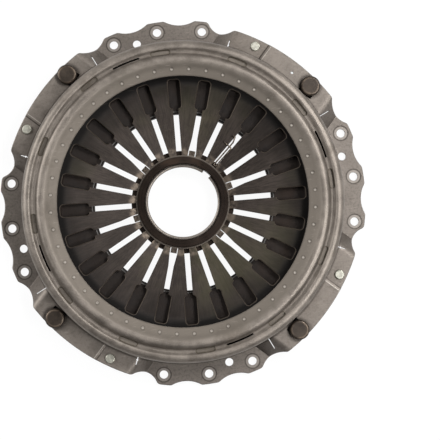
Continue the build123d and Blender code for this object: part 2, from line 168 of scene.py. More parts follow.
class Wiring:
    """Adds nodes to one tree and joins their sockets."""

    def __init__(self, tree: Tree) -> None:
        """Keeps the tree that is wired."""
        self.tree = tree

    def node(self, kind: str, **settings: object) -> bpy.types.Node:
        """Adds a node of this kind.

        Args:
            kind: the node's class name.
            settings: properties to set on it.

        Returns:
            The new node.
        """
        made = self.tree.nodes.new(kind)
        for name, value in settings.items():
            setattr(made, name, value)
        return made

    def feed(self, socket: Socket, value: Feed) -> None:
        """Joins a socket to an input, or sets the input's plain value.

        Args:
            socket: the input.
            value: a socket that feeds it, or its value.
        """
        if isinstance(value, Socket):
            self.tree.links.new(value, socket)
        else:
            socket.default_value = value

    def math(self, operation: str, first: Feed, second: Feed = 0.0, third: Feed = 0.0) -> Socket:
        """Adds a Math node.

        Args:
            operation: what it works out.
            first: first operand.
            second: second operand.
            third: third operand, where the operation takes one.

        Returns:
            Its result.
        """
        made = self.node("ShaderNodeMath", operation=operation)
        for socket, value in zip(made.inputs, (first, second, third)):
            self.feed(socket, value)
        return made.outputs[0]

    def product(self, *factors: Feed) -> Socket:
        """Multiplies values.

        Args:
            factors: the values; plain ones of 1 are left out.

        Returns:
            Their product.
        """
        total, *others = factors
        for factor in others:
            if factor != 1.0:
                total = self.math("MULTIPLY", total, factor)
        return total

    def length(self, first: Feed, second: Feed) -> Socket:
        """Works out the distance that two steps at right angles make."""
        squares = [self.math("POWER", step, 2.0) for step in (first, second)]
        return self.math("SQRT", self.math("ADD", *squares))

    def remap(self, value: Feed, low: Feed, high: Feed, to_low: Feed = 0.0, to_high: Feed = 1.0) -> Socket:
        """Maps low to high onto another range, smoothly and clamped.

        Args:
            value: what is mapped.
            low: where the range starts.
            high: where it ends.
            to_low: the result at its start.
            to_high: the result at its end.

        Returns:
            The mapped value.
        """
        made = self.node("ShaderNodeMapRange", interpolation_type="SMOOTHSTEP", clamp=True)
        for socket, item in zip(made.inputs, (value, low, high, to_low, to_high)):
            self.feed(socket, item)
        return made.outputs[0]

    def ramp(self, value: Feed, ramp: Ramp) -> Socket:
        """Follows a ramp with plain values."""
        return self.remap(value, ramp.low, ramp.high, ramp.before, ramp.after)

    def noise(self, vector: Feed, scale: Feed, detail: float = 3.0, rough: float = 0.55) -> Socket:
        """Adds a noise pattern.

        Args:
            vector: where it is read.
            scale: how fine it is.
            detail: how many layers it has.
            rough: how strong the finer layers are.

        Returns:
            The pattern, about 0 to 1.
        """
        made = self.node("ShaderNodeTexNoise", noise_dimensions="3D")
        self.feed(made.inputs["Vector"], vector)
        self.feed(made.inputs["Scale"], scale)
        made.inputs["Detail"].default_value = detail
        made.inputs["Roughness"].default_value = rough
        return made.outputs["Fac"]

    def mix(self, share: Feed, first: Feed, second: Feed) -> Socket:
        """Mixes two colours.

        Args:
            share: how much of the second.
            first: first colour.
            second: second colour.

        Returns:
            The mixed colour.
        """
        made = self.node("ShaderNodeMix", data_type="RGBA")
        self.feed(made.inputs[0], share)
        self.feed(made.inputs[6], first)
        self.feed(made.inputs[7], second)
        return made.outputs[2]

    def bump(self, height: Feed, strength: float, depth: float) -> Socket:
        """Turns a height into a normal.

        Args:
            height: the height pattern.
            strength: how much of it counts.
            depth: how deep it is in metres.

        Returns:
            The normal.
        """
        made = self.node("ShaderNodeBump")
        made.inputs["Strength"].default_value = strength
        made.inputs["Distance"].default_value = depth
        self.feed(made.inputs["Height"], height)
        return made.outputs["Normal"]

    def use(self, group: Tree, **values: Feed) -> bpy.types.Node:
        """Places an effect group.

        Args:
            group: the effect.
            values: its inputs, with _ for a space in a name.

        Returns:
            The group's node.
        """
        made = self.node("ShaderNodeGroup")
        made.node_tree = group
        for name, value in values.items():
            self.feed(made.inputs[name.replace("_", " ")], value)
        return made


class Effect:
    """A shader node group with named inputs and outputs, built once."""

    def __init__(self, name: str, inputs: dict[str, float | None], outputs: list[str]) -> None:
        """Makes the empty group.

        Args:
            name: the group's name.
            inputs: each input with its default, None for a vector.
            outputs: each output's name.
        """
        self.tree = bpy.data.node_groups.new(name, "ShaderNodeTree")
        for label, value in inputs.items():
            kind = "NodeSocketVector" if value is None else "NodeSocketFloat"
            made = self.tree.interface.new_socket(name=label, in_out="INPUT", socket_type=kind)
            if value is not None:
                made.default_value = value
        for label in outputs:
            self.tree.interface.new_socket(name=label, in_out="OUTPUT", socket_type="NodeSocketFloat")
        self.wiring = Wiring(self.tree)
        self.given = self.wiring.node("NodeGroupInput").outputs
        self.result = self.wiring.node("NodeGroupOutput").inputs


class Effects:
    """The effects that several finishes share."""

    FINE_SHARE = 0.35
    TONE = Ramp(0.34, 0.66)
    RINGS = Ramp(0.3, 0.7)
    SCRATCH_RUNS = ((28.0, 22.0), (-52.0, 30.0))
    SCRATCH_TILT = (0.2, 0.1)
    SCRATCH_HEIGHT = 4.0
    SCRATCHES = Ramp(0.69, 0.76)
    STAIN_FROM = 0.72
    STAIN_BY_COVER = 0.4
    STAIN_EDGE = 0.16

    def __init__(self) -> None:
        """Builds each group."""
        self.place = self._place()
        self.grain = self._grain()
        self.band = self._band()
        self.spots = self._spots()
        self.lathe = self._lathe()
        self.rubs = self._rubs()
        self.stain = self._stain()

    def _place(self) -> Tree:
        """Gives radius, height and turn round the clutch axis, in millimetres and degrees.

        Returns:
            The group.
        """
        made = Effect("place_on_clutch", {"Vector": None}, ["Radius", "Height", "Turn"])
        w = made.wiring
        axes = w.node("ShaderNodeSeparateXYZ")
        w.feed(axes.inputs[0], made.given["Vector"])
        w.feed(made.result["Radius"], w.product(w.length(axes.outputs[0], axes.outputs[1]), 1 / MM))
        w.feed(made.result["Height"], w.product(axes.outputs[2], 1 / MM))
        turn = w.math("ARCTAN2", axes.outputs[1], axes.outputs[0])
        w.feed(made.result["Turn"], w.math("DEGREES", turn))
        return made.tree

    def _grain(self) -> Tree:
        """Lays fine grain over a soft mottle, as rolled or cast metal shows.

        Returns:
            The group.
        """
        made = Effect("metal_grain", {"Vector": None, "Grain": 900.0, "Mottle": 22.0}, ["Tone", "Height"])
        w = made.wiring
        fine = w.noise(made.given["Vector"], made.given["Grain"], 4.0, 0.6)
        soft = w.noise(made.given["Vector"], made.given["Mottle"], 5.0, 0.6)
        both = w.math("ADD", w.product(fine, self.FINE_SHARE), w.product(soft, 1 - self.FINE_SHARE))
        w.feed(made.result["Tone"], w.ramp(both, self.TONE))
        w.feed(made.result["Height"], fine)
        return made.tree

    def _band(self) -> Tree:
        """Gives 1 inside a band of some value, falling softly to 0 outside it.

        Returns:
            The group.
        """
        made = Effect("soft_band", {"Value": 0.0, "Middle": 0.0, "Half Width": 1.0, "Soft": 1.0}, ["Mask"])
        w = made.wiring
        off = w.math("ABSOLUTE", w.math("SUBTRACT", made.given["Value"], made.given["Middle"]))
        edge = w.math("ADD", made.given["Half Width"], made.given["Soft"])
        w.feed(made.result["Mask"], w.remap(off, made.given["Half Width"], edge, 1.0, 0.0))
        return made.tree

    def _spots(self) -> Tree:
        """Gives the distance in millimetres from the nearest of spots evenly spaced round the clutch.

        Returns:
            The group.
        """
        given = {"Radius": 0.0, "Turn": 0.0, "At Radius": 200.0, "At Turn": 0.0, "Every": 90.0}
        made = Effect("distance_from_spots", given, ["Distance"])
        w = made.wiring
        radius, at_radius = made.given["Radius"], made.given["At Radius"]
        half = w.product(made.given["Every"], 0.5)
        off = w.math("SUBTRACT", made.given["Turn"], made.given["At Turn"])
        off = w.math("WRAP", off, half, w.product(half, -1.0))
        chord = w.product(w.math("SINE", w.math("RADIANS", w.product(off, 0.5))), 2.0)
        along = w.product(w.math("POWER", chord, 2.0), w.product(radius, at_radius))
        outward = w.math("POWER", w.math("SUBTRACT", radius, at_radius), 2.0)
        w.feed(made.result["Distance"], w.math("SQRT", w.math("ADD", along, outward)))
        return made.tree

    def _lathe(self) -> Tree:
        """Draws the rings that a lathe tool or grinder leaves round the clutch axis.

        Returns:
            The group.
        """
        made = Effect("turning_rings", {"Radius": 0.0, "Fineness": 3.0}, ["Tone", "Height"])
        w = made.wiring
        along = w.node("ShaderNodeCombineXYZ")
        w.feed(along.inputs[0], made.given["Radius"])
        streaks = w.noise(along.outputs[0], made.given["Fineness"], 5.0, 0.75)
        w.feed(made.result["Tone"], w.ramp(streaks, self.RINGS))
        w.feed(made.result["Height"], streaks)
        return made.tree

    def _rubs(self) -> Tree:
        """Draws short fine scratches from handling, in two directions.

        Returns:
            The group.
        """
        made = Effect("handling_scratches", {"Vector": None, "Fineness": 60.0}, ["Mask"])
        w = made.wiring
        marks: list[Socket] = []
        for lean, stretch in self.SCRATCH_RUNS:
            turned = w.node("ShaderNodeMapping")
            turned.inputs["Rotation"].default_value = (*self.SCRATCH_TILT, math.radians(lean))
            turned.inputs["Scale"].default_value = (1.0, stretch, self.SCRATCH_HEIGHT)
            w.feed(turned.inputs["Vector"], made.given["Vector"])
            lines = w.noise(turned.outputs[0], made.given["Fineness"], 2.0, 0.4)
            marks.append(w.ramp(lines, self.SCRATCHES))
        w.feed(made.result["Mask"], w.math("MAXIMUM", *marks))
        return made.tree

    def _stain(self) -> Tree:
        """Draws patches of oil, heat tint or storage bloom.

        Returns:
            The group.
        """
        made = Effect("patchy_stain", {"Vector": None, "Size": 12.0, "Cover": 0.5}, ["Mask"])
        w = made.wiring
        patches = w.noise(made.given["Vector"], made.given["Size"], 6.0, 0.62)
        start = w.math("SUBTRACT", self.STAIN_FROM, w.product(made.given["Cover"], self.STAIN_BY_COVER))
        w.feed(made.result["Mask"], w.remap(patches, start, w.math("ADD", start, self.STAIN_EDGE)))
        return made.tree


@dataclass
class Surface:
    """What a finish works with while its material is wired: the nodes, the effects and the place."""

    wiring: Wiring
    effects: Effects
    where: Socket
    radius: Socket
    height: Socket
    turn: Socket

    def band(self, measure: Feed, band: Band) -> Socket:
        """Shows where a measure lies in a band.

        Args:
            measure: what is looked at.
            band: the band.

        Returns:
            The band's strength inside it, 0 outside it.
        """
        made = self.wiring.use(
            self.effects.band, Value=measure, Middle=band.middle, Half_Width=band.half, Soft=band.soft
        )
        return self.wiring.product(made.outputs["Mask"], band.strength)

    def away(self, radius: float, turn: float, every: float = 360 / BRIDGES) -> Socket:
        """Measures how far off the nearest of many evenly spaced spots is.

        Args:
            radius: how far the spots are from the clutch axis, in millimetres.
            turn: the first spot's angle in degrees.
            every: the angle from one spot to the next.

        Returns:
            The distance in millimetres.
        """
        made = self.wiring.use(
            self.effects.spots, Radius=self.radius, Turn=self.turn,
            At_Radius=radius, At_Turn=turn, Every=every,
        )
        return made.outputs["Distance"]

    def rings(self, measure: Feed, fineness: float, reading: Reading) -> Socket:
        """Adds a lathe's rings.

        Args:
            measure: what the rings follow.
            fineness: how close they stand.
            reading: their tone or their height.

        Returns:
            The reading.
        """
        made = self.wiring.use(self.effects.lathe, Radius=measure, Fineness=fineness)
        return made.outputs[reading.value]

    def coat(self, colour: Feed, over: Feed, *shares: Feed) -> Socket:
        """Lays a colour over another.

        Args:
            colour: the colour below.
            over: the colour laid on it.
            shares: how much of it, as factors.

        Returns:
            The mixed colour.
        """
        return self.wiring.mix(self.wiring.product(*shares), colour, over)


@dataclass(frozen=True)
class Finish:
    """A metal finish: colour and its mottle, gloss, grain, scratches and stains.

    Its places are in millimetres from the clutch axis or above the floor, its turns in degrees.
    """

    name: str
    colour: Colour
    shade: Colour
    stain_colour: Colour
    metallic: float
    gloss: float
    dull: float
    grain: float = 900.0
    mottle: float = 22.0
    relief: float = 0.12
    depth: float = 0.0002
    scratch: float = 0.25
    scratch_gain: float = 1.9
    scratch_depth: float = 0.3
    stain: float = 0.4
    stain_size: float = 12.0
    stain_share: float = 0.4
    wear_by_tone: float = 0.6

    def tint(self, spot: Surface, colour: Socket) -> Socket:
        """The colour once the marks of this finish's own places are on it."""
        return colour

    def relief_of(self, spot: Surface, height: Socket) -> Socket:
        """The height once this finish's own relief is on it."""
        return height

    def polish(self, spot: Surface, rough: Socket) -> Socket:
        """The roughness once this finish's rubbed and dirty places are on it."""
        return rough

    def build(self, effects: Effects) -> bpy.types.Material:
        """Wires the material.

        Args:
            effects: the shared groups.

        Returns:
            The material.
        """
        made = bpy.data.materials.new(self.name)
        made.use_nodes = True
        made.node_tree.nodes.clear()
        w = Wiring(made.node_tree)
        where = w.node("ShaderNodeTexCoord").outputs["Object"]
        place = w.use(effects.place, Vector=where).outputs
        spot = Surface(w, effects, where, place["Radius"], place["Height"], place["Turn"])
        grain = w.use(effects.grain, Vector=where, Grain=self.grain, Mottle=self.mottle).outputs
        scratches = w.use(effects.rubs, Vector=where).outputs["Mask"]
        stains = w.use(effects.stain, Vector=where, Size=self.stain_size, Cover=self.stain_share)
        stains = stains.outputs["Mask"]
        colour = w.mix(grain["Tone"], self.shade, self.colour)
        colour = self.tint(spot, spot.coat(colour, self.stain_colour, stains, self.stain))
        bright = tuple(min(1.0, channel * self.scratch_gain) for channel in self.colour[:3]) + (1.0,)
        colour = spot.coat(colour, bright, scratches, self.scratch)
        by_stain = w.product(stains, 1 - self.wear_by_tone)
        wear = w.math("ADD", w.product(grain["Tone"], self.wear_by_tone), by_stain)
        rough = w.ramp(wear, Ramp(0.0, 1.0, self.gloss, self.dull))
        height = w.math("SUBTRACT", grain["Height"], w.product(scratches, self.scratch_depth))
        shader = w.node("ShaderNodeBsdfPrincipled")
        w.feed(shader.inputs["Base Color"], colour)
        shader.inputs["Metallic"].default_value = self.metallic
        w.feed(shader.inputs["Roughness"], self.polish(spot, rough))
        w.feed(shader.inputs["Normal"], w.bump(self.relief_of(spot, height), self.relief, self.depth))
        w.feed(w.node("ShaderNodeOutputMaterial").inputs["Surface"], shader.outputs[0])
        return made


@dataclass(frozen=True)
class CoverSteel(Finish):
    """Pressed sheet with dirt specks and painted light: painted shade on the low flange and bridges, the
    inner rim edge, the inner cone, the corners, the groove, the pads and round the stop bolts; painted
    highlights on the bolt seats, the steps' edges and the dimples.
    """

    # Painted shade: the low flange and bridges are darkened by height, fading out towards the upper parts.
    low_shade_colour: Colour = rgb(110, 103, 97)
    low_shade: Ramp = Ramp(12.0, 50.0, 0.8, 0.0)
    # Colour of the dirt specks and of the painted shade in the corners, recesses and edges.
    dirt_and_shade_colour: Colour = rgb(52, 46, 41)
    speck_scale: float = 330.0
    specks: Ramp = Ramp(0.44, 0.68, 0.0, 0.34)
    specks_above: float = 0.2
    # Painted shade on the cover's inner rim edge.
    rim: Ramp = Ramp(160.8, 162.7, 0.85, 0.0)
    # Painted shade: the inner cone is darkened, as it catches less light.
    cone_shade_colour: Colour = rgb(104, 97, 89)
    cone: Ramp = Ramp(173.0, 181.0, 0.8, 0.0)
    # Painted highlight round each bolt hole; the seat's edge gets a painted shade line.
    seat_highlight_colour: Colour = rgb(150, 144, 138)
    bolt_r: float = 225.0
    bolt_pitch: float = 15.0
    seat: Band = Band(6.9, 1.2, 0.7, 0.5)
    seat_edge_shade: Band = Band(9.5, 0.4, 0.7, 0.7)
    flange: Ramp = Ramp(8.0, 10.0, 1.0, 0.0)
    # Painted highlight on each step's upper edge and painted shade at its foot.
    step_edge_highlight: Band = Band(27.0, 0.2, 0.5, 0.5)
    step_foot_shade: Band = Band(30.5, 0.4, 0.8, 0.8)
    step_height: Ramp = Ramp(26.5, 27.2)
    step_radius: Ramp = Ramp(207.0, 208.0)
    # Painted shade in the corner at the foot of the cover's wall.
    wall_foot_shade: Band = Band(208.2, 0.9, 1.6, 0.6)
    wall_height: Ramp = Ramp(29.5, 31.0, 1.0, 0.0)
    # Painted shade in the cover's groove.
    channel: Band = Band(190.6, 1.8, 2.2)
    channel_shade_height: Ramp = Ramp(48.0, 52.0, 0.0, 0.18)
    # Painted shade round the stop bolts' heads on the bridges.
    stop_shade: Ramp = Ramp(12.5, 18.5, 0.7, 0.0)
    stop_height: Ramp = Ramp(38.0, 40.0, 1.0, 0.0)
    # Painted shade in the groove's pad pockets: along their walls and a little on their floor.
    pad_shade_colour: Colour = rgb(72, 64, 50)
    pad_r: float = 191.0
    pad_pitch: float = 30.0
    pad_straight: float = 9.6
    pad_wall_shade: Band = Band(2.9, 0.25, 0.5, 0.75)
    pad_floor_shade: Ramp = Ramp(2.4, 2.9, 0.22, 0.0)
    pad_height: Ramp = Ramp(52.4, 53.9)
    # Colour of the painted highlights on the steps' edges and in the dimples.
    painted_highlight_colour: Colour = rgb(190, 184, 176)
    dimple_r: float = 168.5
    dimple_pitch: float = 7.5
    dimple: Ramp = Ramp(0.8, 2.1, 0.5, 0.0)
    # Painted shade ring round each dimple.
    dimple_edge_shade: Band = Band(2.5, 0.2, 0.8, 0.3)
    dimple_height: Ramp = Ramp(55.0, 56.0)
    crown: Band = Band(183.5, 2.5, 3.0)
    shoulder: Band = Band(202.0, 2.5, 3.0)
    groove: Band = Band(191.0, 3.0, 1.5)
    upper: Ramp = Ramp(50.0, 56.0)
    inner: Ramp = Ramp(172.0, 180.0, 1.0, 0.0)
    rubbed: float = 0.03
    dulled: float = 0.12

    def polish(self, spot: Surface, rough: Socket) -> Socket:
        """Rubs the crown and the shoulder smooth, and leaves the groove and the inner cone dull.

        Args:
            spot: the surface.
            rough: the roughness so far.

        Returns:
            The roughness with these places in it.
        """
        w = spot.wiring
        high = w.ramp(spot.height, self.upper)
        humps = w.math("MAXIMUM", spot.band(spot.radius, self.crown), spot.band(spot.radius, self.shoulder))
        groove = w.product(spot.band(spot.radius, self.groove), high)
        dull = w.math("MAXIMUM", groove, w.ramp(spot.radius, self.inner))
        rough = w.math("SUBTRACT", rough, w.product(humps, high, self.rubbed))
        return w.math("ADD", rough, w.product(dull, self.dulled))

    def _steps(self, spot: Surface, colour: Socket) -> Socket:
        """Paints a highlight on the upper edge of each bridge's step and shade at its foot.

        Args:
            spot: the surface.
            colour: the colour so far.

        Returns:
            The colour with the steps in it.
        """
        w = spot.wiring
        half = 180 / BRIDGES
        off = w.math("WRAP", w.math("SUBTRACT", spot.turn, BRIDGE_TURN), half, -half)
        along = w.product(spot.radius, w.math("SINE", w.math("RADIANS", off)))
        there = w.product(w.ramp(spot.height, self.step_height), w.ramp(spot.radius, self.step_radius))
        # Painted highlight on the step's upper edge, then painted shade at its foot.
        colour = spot.coat(colour, self.painted_highlight_colour, spot.band(along, self.step_edge_highlight), there)
        return spot.coat(colour, self.dirt_and_shade_colour, spot.band(along, self.step_foot_shade), there)

    def _pad_shade(self, spot: Surface) -> Socket:
        """Paints shade in the pockets of the groove's pads: a line along their walls, and their floor a
        little.

        Args:
            spot: the surface.

        Returns:
            How strong the painted shade is.
        """
        w = spot.wiring
        half = self.pad_pitch / 2
        off = w.math("RADIANS", w.math("ABSOLUTE", w.math("WRAP", spot.turn, half, -half)))
        past_end = w.math("MAXIMUM", w.math("SUBTRACT", w.product(off, self.pad_r), self.pad_straight), 0.0)
        aside = w.math("ABSOLUTE", w.math("SUBTRACT", spot.radius, self.pad_r))
        apart = w.length(past_end, aside)
        dark = w.math("ADD", spot.band(apart, self.pad_wall_shade), w.ramp(apart, self.pad_floor_shade))
        return w.product(dark, w.ramp(spot.height, self.pad_height))

    def tint(self, spot: Surface, colour: Socket) -> Socket:
        """Paints shade on the low parts, the inner rim edge, the inner cone, the corners, the groove, the
        pads and round the stop bolts, lays dirt specks, and paints highlights on the seats, the steps'
        edges and the dimples.

        Args:
            spot: the surface.
            colour: the colour so far.

        Returns:
            The colour with these places in it.
        """
        w = spot.wiring
        # Painted shade on the low flange and bridges, by height; the dirt specks below are also denser
        # there.
        low_shade = w.ramp(spot.height, self.low_shade)
        colour = spot.coat(colour, self.low_shade_colour, low_shade)
        specks = w.ramp(w.noise(spot.where, self.speck_scale, 4.0, 0.65), self.specks)
        colour = spot.coat(colour, self.dirt_and_shade_colour, specks, w.math("ADD", low_shade, self.specks_above))
        # Painted shade on the cover's inner rim edge.
        colour = spot.coat(colour, self.dirt_and_shade_colour, w.ramp(spot.radius, self.rim))
        # Painted shade on the inner cone.
        colour = spot.coat(colour, self.cone_shade_colour, w.ramp(spot.radius, self.cone))
        low = w.ramp(spot.height, self.flange)
        # Painted shade line at each seat's edge and painted highlight inside it.
        for turn in (-self.bolt_pitch, 0.0, self.bolt_pitch):
            hole = spot.away(self.bolt_r, turn)
            colour = spot.coat(colour, self.dirt_and_shade_colour, spot.band(hole, self.seat_edge_shade), low)
            colour = spot.coat(colour, self.seat_highlight_colour, spot.band(hole, self.seat), low)
        colour = self._steps(spot, colour)
        # Painted shade in the corner at the foot of the cover's wall.
        wall = spot.band(spot.radius, self.wall_foot_shade)
        colour = spot.coat(colour, self.dirt_and_shade_colour, wall, w.ramp(spot.height, self.wall_height))
        # Painted shade in the cover's groove.
        channel = spot.band(spot.radius, self.channel)
        colour = spot.coat(colour, self.dirt_and_shade_colour, channel, w.ramp(spot.height, self.channel_shade_height))
        # Painted shade round the stop bolts' heads.
        stop = w.ramp(spot.away(STOP_BOLT_R, STOP_BOLT_TURN), self.stop_shade)
        colour = spot.coat(colour, self.dirt_and_shade_colour, stop, w.ramp(spot.height, self.stop_height))
        # Painted shade in the pad pockets.
        colour = spot.coat(colour, self.pad_shade_colour, self._pad_shade(spot))
        dimple = spot.away(self.dimple_r, self.dimple_pitch / 2, self.dimple_pitch)
        # Painted shade ring round each dimple.
        colour = spot.coat(colour, self.dirt_and_shade_colour, spot.band(dimple, self.dimple_edge_shade))
        # Painted highlight in each dimple.
        bright = w.product(w.ramp(dimple, self.dimple), w.ramp(spot.height, self.dimple_height))
        return spot.coat(colour, self.painted_highlight_colour, bright)


@dataclass(frozen=True)
class SpringSteel(Finish):
    """Hardened dark spring: worn tips, heat tint in patches, painted shadow under the cover's rim and
    painted highlights on the windows' bevels.
    """

    # Colour of the radial streaks and of the painted shadow under the cover's rim.
    streak_and_shadow_colour: Colour = rgb(17, 15, 14)
    # Painted shadow on the spring's outer zone, under the cover's rim.
    rim_shadow: Ramp = Ramp(146.0, 157.0, 0.0, 0.92)
    outer_rim_dull: Ramp = Ramp(146.0, 157.0, 0.0, 0.35)
    streak_scale: float = 70.0
    streaks: Ramp = Ramp(0.36, 0.66, 0.0, 0.4)
    tint_colour: Colour = rgb(76, 74, 54)
    tint_size: float = 6.0
    tint_cover: float = 0.55
    tint_share: float = 0.45
    # Painted shade that deepens from the fingers towards the cover's rim.
    rim_shade_colour: Colour = rgb(31, 27, 25)
    rim: Ramp = Ramp(110.0, 162.0, 0.0, 0.75)
    tip_colour: Colour = rgb(120, 108, 96)
    tips: Band = Band(64.0, 3.0, 5.0, 0.85)
    tip_scale: float = 130.0
    tip_patches: Ramp = Ramp(0.35, 0.62)
    # Painted highlight on the windows' bevelled edges.
    bevel_highlight_colour: Colour = rgb(104, 94, 84)
    bevel_highlight_share: float = 0.7

    def polish(self, spot: Surface, rough: Socket) -> Socket:
        """Leaves the spring's outer zone dull, where its shadow is painted."""
        return spot.wiring.math("ADD", rough, spot.wiring.ramp(spot.radius, self.outer_rim_dull))

    def tint(self, spot: Surface, colour: Socket) -> Socket:
        """Streaks the spring, tints patches green and brown, paints shade that deepens towards the cover's
        rim and a shadow under it, wears the finger tips bright and paints highlights on the windows'
        bevels.

        Args:
            spot: the surface.
            colour: the colour so far.

        Returns:
            The colour with these marks in it.
        """
        w = spot.wiring
        outward = w.node("ShaderNodeVectorMath", operation="NORMALIZE")
        w.feed(outward.inputs[0], spot.where)
        streaks = w.noise(outward.outputs[0], self.streak_scale, 4.0, 0.6)
        colour = spot.coat(colour, self.streak_and_shadow_colour, w.ramp(streaks, self.streaks))
        patches = w.use(spot.effects.stain, Vector=spot.where, Size=self.tint_size, Cover=self.tint_cover)
        colour = spot.coat(colour, self.tint_colour, patches.outputs["Mask"], self.tint_share)
        # Painted shade deepening towards the cover's rim.
        colour = spot.coat(colour, self.rim_shade_colour, w.ramp(spot.radius, self.rim))
        # Painted shadow on the spring's outer zone, under the cover's rim.
        colour = spot.coat(colour, self.streak_and_shadow_colour, w.ramp(spot.radius, self.rim_shadow))
        broken = w.ramp(w.noise(spot.where, self.tip_scale, 4.0, 0.6), self.tip_patches)
        colour = spot.coat(colour, self.tip_colour, spot.band(spot.radius, self.tips), broken)
        # Painted highlight on the windows' bevelled edges.
        bevel_highlight = w.node("ShaderNodeAttribute", attribute_name=BEVEL_MARK).outputs["Fac"]
        return spot.coat(colour, self.bevel_highlight_colour, bevel_highlight, self.bevel_highlight_share)


@dataclass(frozen=True)
class PlateIron(Finish):
    """Cast iron, rough above and ground in rings on the friction face, the nose and the bore's ledge, with
    a highlight painted on the bore's edge.
    """

    ground_and_highlight_colour: Colour = rgb(150, 148, 145)
    ground_shade: Colour = rgb(118, 116, 114)
    face: Ramp = Ramp(5.6, 6.8, 1.0, 0.0)
    nose: Ramp = Ramp(31.5, 31.9)
    # The bore's edge: machined metal with a painted highlight on it.
    bore_from: Ramp = Ramp(116.2, 116.7)
    bore_to: Ramp = Ramp(117.6, 118.0, 1.0, 0.0)
    bore_highlight_height: Ramp = Ramp(19.6, 19.9, 0.0, 0.6)
    tone_fineness: float = 0.9
    ring_fineness: float = 1.6
    skin_scale: float = 260.0
    skin_relief: float = 2.0

    def _ground(self, spot: Surface) -> Socket:
        """Shows where the casting is machined, and the bore's edge, whose brightness is partly a painted
        highlight.

        Args:
            spot: the surface.

        Returns:
            1 where it is machined, 0 where it is as cast.
        """
        w = spot.wiring
        face = w.math("MAXIMUM", w.ramp(spot.height, self.face), w.ramp(spot.height, self.nose))
        # The bore's edge: machined metal with a painted highlight.
        ledge = w.product(w.ramp(spot.radius, self.bore_from), w.ramp(spot.radius, self.bore_to))
        return w.math("MAXIMUM", face, w.product(ledge, w.ramp(spot.height, self.bore_highlight_height)))

    def tint(self, spot: Surface, colour: Socket) -> Socket:
        """Brightens the ground faces, streaked in rings; at the bore's edge this is partly a painted
        highlight.

        Args:
            spot: the surface.
            colour: the colour so far.

        Returns:
            The colour with the ground faces in it.
        """
        streaks = spot.rings(spot.radius, self.tone_fineness, Reading.TONE)
        bright = spot.coat(self.ground_shade, self.ground_and_highlight_colour, streaks)
        return spot.coat(colour, bright, self._ground(spot))

    def relief_of(self, spot: Surface, height: Socket) -> Socket:
        """Puts rings on the ground faces and cast skin elsewhere.

        Args:
            spot: the surface.
            height: the height so far.

        Returns:
            The height with both in it.
        """
        w = spot.wiring
        rings = spot.rings(spot.radius, self.ring_fineness, Reading.HEIGHT)
        skin = w.product(w.noise(spot.where, self.skin_scale, 3.0, 0.6), self.skin_relief)
        skin = w.math("ADD", height, skin)
        ground = self._ground(spot)
        return w.math("ADD", w.product(skin, w.math("SUBTRACT", 1.0, ground)), w.product(rings, ground))


@dataclass(frozen=True)
class TurnedSteel(Finish):
    """Turned and blackened steel: fine rings, a highlight painted along the lip and worn claws."""

    ring_colour: Colour = rgb(60, 47, 39)
    ring_share: float = 0.6
    tone_fineness: float = 0.55
    # Painted highlight along the lip's edge.
    lip_highlight_colour: Colour = rgb(128, 119, 110)
    lip: Band = Band(60.1, 0.4, 1.6, 0.8)
    lip_height: Ramp = Ramp(23.4, 23.8)
    claw_colour: Colour = rgb(104, 94, 84)
    claw: Ramp = Ramp(61.0, 62.0)
    claw_scale: float = 300.0
    claw_patches: Ramp = Ramp(0.38, 0.6, 0.25, 1.0)
    relief_fineness: float = 2.4
    relief_lean: float = 0.7
    ring_relief: float = 1.5

    def tint(self, spot: Surface, colour: Socket) -> Socket:
        """Streaks the turned faces in rings, paints a highlight along the lip and wears the claws bright.

        Args:
            spot: the surface.
            colour: the colour so far.

        Returns:
            The colour with these marks in it.
        """
        w = spot.wiring
        streaks = spot.rings(spot.radius, self.tone_fineness, Reading.TONE)
        colour = spot.coat(colour, self.ring_colour, streaks, self.ring_share)
        # Painted highlight along the lip's edge.
        high = w.ramp(spot.height, self.lip_height)
        colour = spot.coat(colour, self.lip_highlight_colour, spot.band(spot.radius, self.lip), high)
        broken = w.ramp(w.noise(spot.where, self.claw_scale), self.claw_patches)
        return spot.coat(colour, self.claw_colour, w.ramp(spot.radius, self.claw), high, broken)

    def relief_of(self, spot: Surface, height: Socket) -> Socket:
        """Adds fine turning rings.

        Args:
            spot: the surface.
            height: the height so far.

        Returns:
            The height with the rings in it.
        """
        w = spot.wiring
        along = w.math("ADD", spot.radius, w.product(spot.height, self.relief_lean))
        rings = spot.rings(along, self.relief_fineness, Reading.HEIGHT)
        return w.math("ADD", height, w.product(rings, self.ring_relief))


@dataclass(frozen=True)
class BoltOxide(Finish):
    """Blackened stop bolts: a turned face with a highlight painted in a ring near its rim."""

    # Colour of the painted highlight ring near the head's rim.
    ring_colour: Colour = rgb(112, 98, 84)
    ring: Band = Band(10.2, 0.5, 0.9, 0.6)
    ring_scale: float = 90.0
    ring_patches: Ramp = Ramp(0.35, 0.6)
    relief_fineness: float = 1.4
    ring_relief: float = 1.6

    def tint(self, spot: Surface, colour: Socket) -> Socket:
        """Paints a highlight in a ring near the rim of the head.

        Args:
            spot: the surface.
            colour: the colour so far.

        Returns:
            The colour with the ring in it.
        """
        # Painted highlight in a ring near the head's rim.
        ring = spot.band(spot.away(STOP_BOLT_R, STOP_BOLT_TURN), self.ring)
        broken = spot.wiring.ramp(spot.wiring.noise(spot.where, self.ring_scale), self.ring_patches)
        return spot.coat(colour, self.ring_colour, ring, broken)

    def relief_of(self, spot: Surface, height: Socket) -> Socket:
        """Adds the turning rings of the head."""
        rings = spot.rings(spot.away(STOP_BOLT_R, STOP_BOLT_TURN), self.relief_fineness, Reading.HEIGHT)
        return spot.wiring.math("ADD", height, spot.wiring.product(rings, self.ring_relief))


